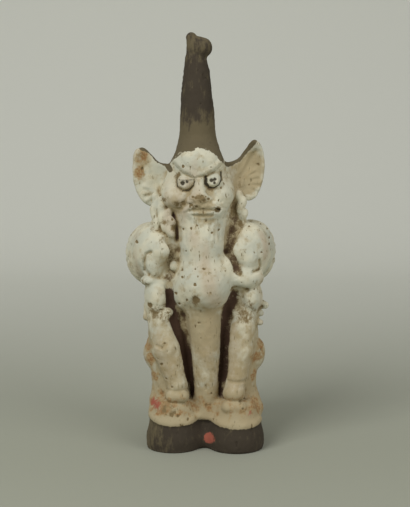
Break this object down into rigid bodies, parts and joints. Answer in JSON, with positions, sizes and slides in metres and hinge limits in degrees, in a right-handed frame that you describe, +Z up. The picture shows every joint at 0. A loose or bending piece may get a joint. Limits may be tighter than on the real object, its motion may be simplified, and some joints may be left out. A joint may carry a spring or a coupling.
{
  "type": "terracotta chimera figure",
  "caption": "Moulded terracotta tomb guardian: a hoofed beast sitting on its haunches, with a frowning demon's face, wide ears and a tall horn, on a low lobed plinth.",
  "frame": {"origin": "middle of the bounding box on the underside", "axes": "+Z up, the face looks along -Y, +X is to the right in the picture"},
  "size_m": [0.1218, 0.0913, 0.3272],
  "materials": {
    "slipped_terracotta": "dry matt white slip worn over fired clay, with soil in the hollows and dark paint on the horn and the plinth's side"
  },
  "bodies": {
    "root": {"figure_and_plinth": "slipped_terracotta"}
  },
  "joints": []
}
